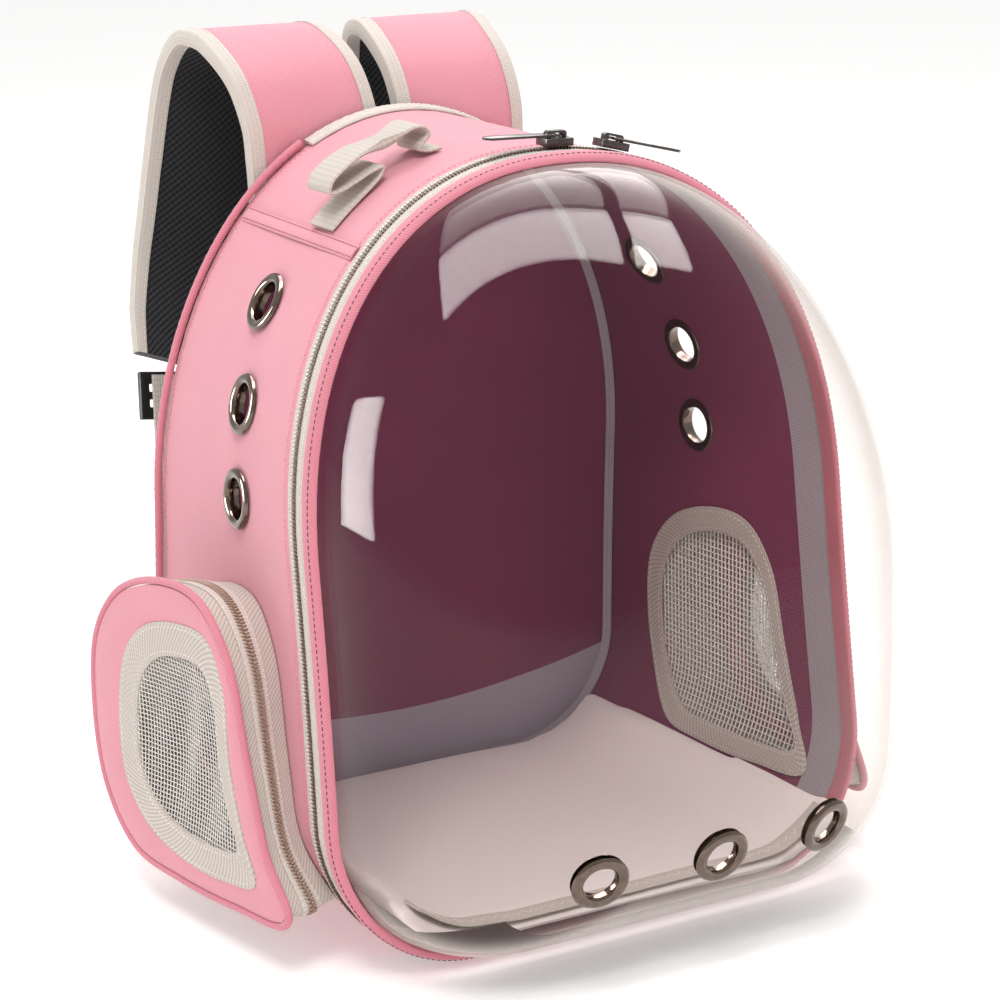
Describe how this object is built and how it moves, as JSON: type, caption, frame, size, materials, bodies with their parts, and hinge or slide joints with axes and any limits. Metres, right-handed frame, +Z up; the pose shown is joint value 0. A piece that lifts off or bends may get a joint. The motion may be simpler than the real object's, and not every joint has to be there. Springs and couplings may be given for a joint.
{
  "type": "bubble pet carrier backpack",
  "caption": "Arched soft-sided pet carrier backpack with a clear bubble front, side pockets, mesh windows, vent eyelets, carry handle and shoulder straps.",
  "frame": {"origin": "on the floor under the middle of the body, at the face of the base", "axes": "+Z up, the bubble faces -Y, the wearer's side is +Y, +X is the wearer's right"},
  "size_m": [0.4106, 0.4216, 0.4457],
  "materials": {
    "shell_twill": "pink polyester twill, matt",
    "lining": "plum polyester lining",
    "spacer_mesh": "black spacer mesh over foam",
    "beige_tape": "beige woven binding tape",
    "grey_binding": "grey binding tape",
    "zip_tape": "beige woven zip tape with nylon coil",
    "zip_coil": "brown nylon coil",
    "clear_sheet": "clear vacuum-formed sheet, glossy",
    "eyelet_metal": "gunmetal plated eyelet",
    "mat_cloth": "pale brushed cloth pad",
    "net": "off-white woven net",
    "webbing": "beige ribbed webbing",
    "black_plastic": "moulded black plastic",
    "dark_metal": "gunmetal die-cast zip slider"
  },
  "bodies": {
    "pack": {"body_shell": "shell_twill", "wall_lining": "lining", "back_panel": "spacer_mesh", "back_lining": "lining", "rear_piping_left": "shell_twill", "rear_piping_right": "shell_twill", "top_seam_binding": "beige_tape", "corner_binding": "grey_binding", "main_zipper": "zip_tape", "rim_binding": "grey_binding", "front_ring": "shell_twill", "bubble_dome": "clear_sheet", "bubble_eyelet_1": "eyelet_metal", "bubble_eyelet_2": "eyelet_metal", "bubble_eyelet_3": "eyelet_metal", "eyelet_left_1": "eyelet_metal", "eyelet_left_2": "eyelet_metal", "eyelet_left_3": "eyelet_metal", "eyelet_right_1": "eyelet_metal", "eyelet_right_2": "eyelet_metal", "eyelet_right_3": "eyelet_metal", "floor_mat": "mat_cloth", "pocket_band_left": "beige_tape", "pocket_band_right": "beige_tape", "pocket_zipper_left": "zip_coil", "pocket_zipper_right": "zip_coil", "pocket_panel_left": "shell_twill", "pocket_panel_right": "shell_twill", "pocket_piping_left": "shell_twill", "pocket_piping_right": "shell_twill", "window_binding_left": "beige_tape", "window_binding_right": "beige_tape", "window_net_left": "net", "window_net_right": "net", "wall_net_left": "net", "wall_net_right": "net", "wall_net_binding_left": "beige_tape", "wall_net_binding_right": "beige_tape", "shoulder_strap_left": "shell_twill", "shoulder_strap_right": "shell_twill", "strap_webbing_left": "webbing", "strap_webbing_right": "webbing", "strap_adjuster_left": "black_plastic", "strap_adjuster_right": "black_plastic", "carry_handle": "webbing", "zip_slider_left": "dark_metal", "zip_slider_right": "dark_metal"},
    "zip_pull_left": {"zip_pull_left": "dark_metal"},
    "zip_pull_right": {"zip_pull_right": "dark_metal"}
  },
  "joints": [
    {"name": "pull_left_swing", "type": "hinge", "parent": "pack", "child": "zip_pull_left", "pos_m": [0.00716, -0.05023, 0.40406], "axis": [0.0045, 0.9997, 0.0253], "range_deg": [0, 110]},
    {"name": "pull_right_swing", "type": "hinge", "parent": "pack", "child": "zip_pull_right", "pos_m": [0.04133, -0.05072, 0.39963], "axis": [-0.0325, -0.9995, -0.0025], "range_deg": [0, 110]}
  ]
}
